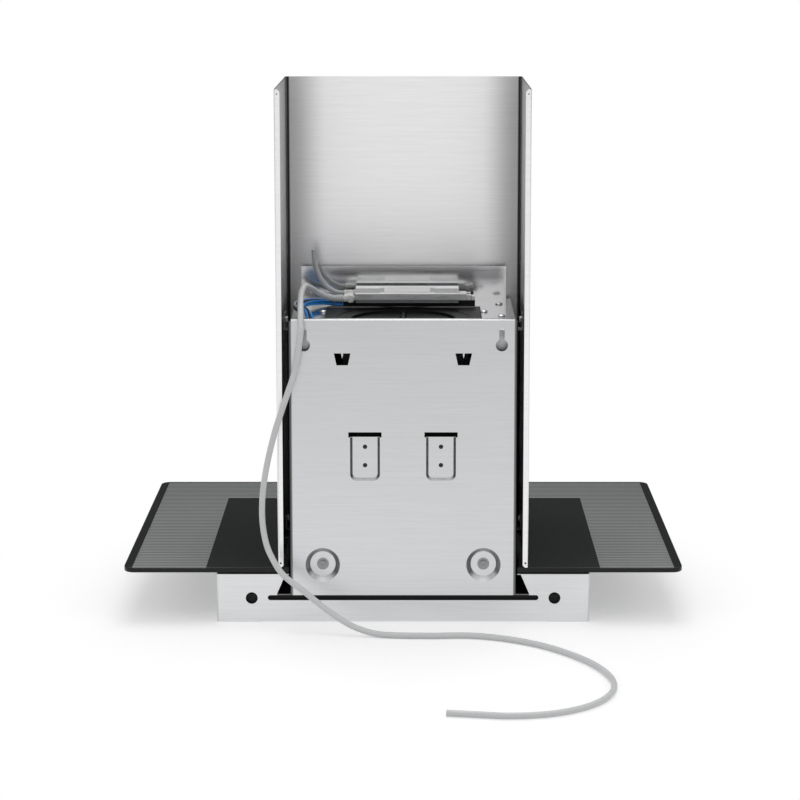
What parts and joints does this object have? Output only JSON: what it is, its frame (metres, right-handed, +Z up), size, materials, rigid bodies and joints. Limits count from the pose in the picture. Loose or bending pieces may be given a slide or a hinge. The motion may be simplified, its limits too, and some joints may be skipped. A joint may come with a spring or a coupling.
{
  "type": "wall mount range hood",
  "caption": "Wall mount range hood: flat glass visor over a steel canopy, with blower housing, outlet damper, grease filters, push buttons, chimney cover and a free supply cord",
  "frame": {"origin": "middle of the width and depth of the hood, on the plane its canopy stands on; the free cord is left out of this box", "axes": "+X to the left of someone looking at the back, +Y from the front to the wall, +Z up"},
  "size_m": [0.75, 0.901, 0.714],
  "materials": {
    "stainless": "fine brushed stainless sheet",
    "galvanised": "plain zinc coated sheet",
    "polished": "polished sheet",
    "glass_print": "toughened, with a dark stripe print below",
    "black_plastic": "moulded black",
    "dark_plastic": "moulded dark grey",
    "white_plastic": "moulded white",
    "box_grey": "dark grey paint",
    "lid_grey": "light silver paint",
    "foam": "closed cell foam",
    "rubber_black": "soft black",
    "fastener": "zinc plated",
    "fan_plastic": "moulded grey",
    "motor_paint": "dark paint",
    "shaft_steel": "ground steel",
    "capacitor_white": "plain white can",
    "filter_aluminium": "anodised frame",
    "filter_mesh": "layered expanded mesh",
    "lamp_lens": "frosted",
    "button_silver": "silver lacquer",
    "board_green": "circuit board",
    "cord_grey": "light grey sheath",
    "lead_grey": "grey sheath",
    "wire_blue": "blue insulation",
    "wire_dark": "dark grey insulation",
    "wire_light": "light grey insulation",
    "wire_earth": "green and yellow insulation"
  },
  "bodies": {
    "hood": {"canopy_shell": "stainless", "underside_panel": "stainless", "inner_pan": "galvanised", "lamp_bezels": "polished", "lamp_lenses": "lamp_lens", "lamp_bodies": "dark_plastic", "button_bezel": "black_plastic", "switch_board": "board_green", "glass_visor": "glass_print", "glass_gasket": "foam", "glass_studs": "fastener", "stud_nuts": "fastener", "housing_wrap": "stainless", "housing_front": "polished", "housing_top": "stainless", "housing_screws": "fastener", "hook_plates": "galvanised", "pocket_rivets": "fastener", "cup_screws": "fastener", "outlet_collar": "black_plastic", "collar_screws": "fastener", "damper_pin": "shaft_steel", "volute_body": "galvanised", "volute_front_plate": "galvanised", "blower_spacers": "fastener", "motor_shell": "motor_paint", "motor_bearings": "shaft_steel", "motor_screws": "fastener", "capacitor": "capacitor_white", "capacitor_clip": "galvanised", "chimney_cover": "stainless", "chimney_brackets": "galvanised", "chimney_screws": "fastener", "control_box": "box_grey", "control_box_lid": "lid_grey", "control_base": "black_plastic", "cord_glands": "white_plastic", "terminal_plugs": "white_plastic", "wires_blue": "wire_blue", "wires_dark": "wire_dark", "wires_light": "wire_light", "wire_earth": "wire_earth", "wire_grommet": "rubber_black", "supply_cord": "cord_grey", "short_lead": "lead_grey"},
    "filter_left": {"filter_frame_left": "filter_aluminium", "filter_mesh_left": "filter_mesh"},
    "filter_right": {"filter_frame_right": "filter_aluminium", "filter_mesh_right": "filter_mesh"},
    "latch_left": {"filter_latch_left": "black_plastic"},
    "latch_right": {"filter_latch_right": "black_plastic"},
    "rotor": {"impeller": "fan_plastic", "motor_shaft": "shaft_steel"},
    "flap_left": {"damper_flap_left": "dark_plastic"},
    "flap_right": {"damper_flap_right": "dark_plastic"},
    "button_power": {"button_power": "button_silver"},
    "button_light": {"button_light": "button_silver"},
    "button_low": {"button_low": "button_silver"},
    "button_medium": {"button_medium": "button_silver"},
    "button_high": {"button_high": "button_silver"}
  },
  "joints": [
    {"name": "flap_left_hinge", "type": "hinge", "parent": "hood", "child": "flap_left", "pos_m": [0, 0.15, 0.3927], "axis": [0, -1, 0], "range_deg": [0, 75]},
    {"name": "flap_right_hinge", "type": "hinge", "parent": "hood", "child": "flap_right", "pos_m": [0, 0.15, 0.3927], "axis": [0, 1, 0], "range_deg": [0, 75]},
    {"name": "fan_spin", "type": "hinge", "parent": "hood", "child": "rotor", "pos_m": [0.042, 0.15, 0.185], "axis": [0, 1, 0], "continuous": true},
    {"name": "filter_left_hinge", "type": "hinge", "parent": "hood", "child": "filter_left", "pos_m": [0.115, 0.2334, 0.0024], "axis": [1, 0, 0], "range_deg": [0, 60]},
    {"name": "latch_left_slide", "type": "slide", "parent": "filter_left", "child": "latch_left", "axis": [0, 1, 0], "range_m": [0, 0.005], "stiffness_N_per_m": 300, "springref_m": -0.002},
    {"name": "filter_right_hinge", "type": "hinge", "parent": "hood", "child": "filter_right", "pos_m": [-0.115, 0.2334, 0.0024], "axis": [1, 0, 0], "range_deg": [0, 60]},
    {"name": "latch_right_slide", "type": "slide", "parent": "filter_right", "child": "latch_right", "axis": [0, 1, 0], "range_m": [0, 0.005], "stiffness_N_per_m": 300, "springref_m": -0.002},
    {"name": "press_power", "type": "slide", "parent": "hood", "child": "button_power", "axis": [0, 1, 0], "range_m": [0, 0.0025], "stiffness_N_per_m": 400, "springref_m": -0.002},
    {"name": "press_light", "type": "slide", "parent": "hood", "child": "button_light", "axis": [0, 1, 0], "range_m": [0, 0.0025], "stiffness_N_per_m": 400, "springref_m": -0.002},
    {"name": "press_low", "type": "slide", "parent": "hood", "child": "button_low", "axis": [0, 1, 0], "range_m": [0, 0.0025], "stiffness_N_per_m": 400, "springref_m": -0.002},
    {"name": "press_medium", "type": "slide", "parent": "hood", "child": "button_medium", "axis": [0, 1, 0], "range_m": [0, 0.0025], "stiffness_N_per_m": 400, "springref_m": -0.002},
    {"name": "press_high", "type": "slide", "parent": "hood", "child": "button_high", "axis": [0, 1, 0], "range_m": [0, 0.0025], "stiffness_N_per_m": 400, "springref_m": -0.002}
  ]
}
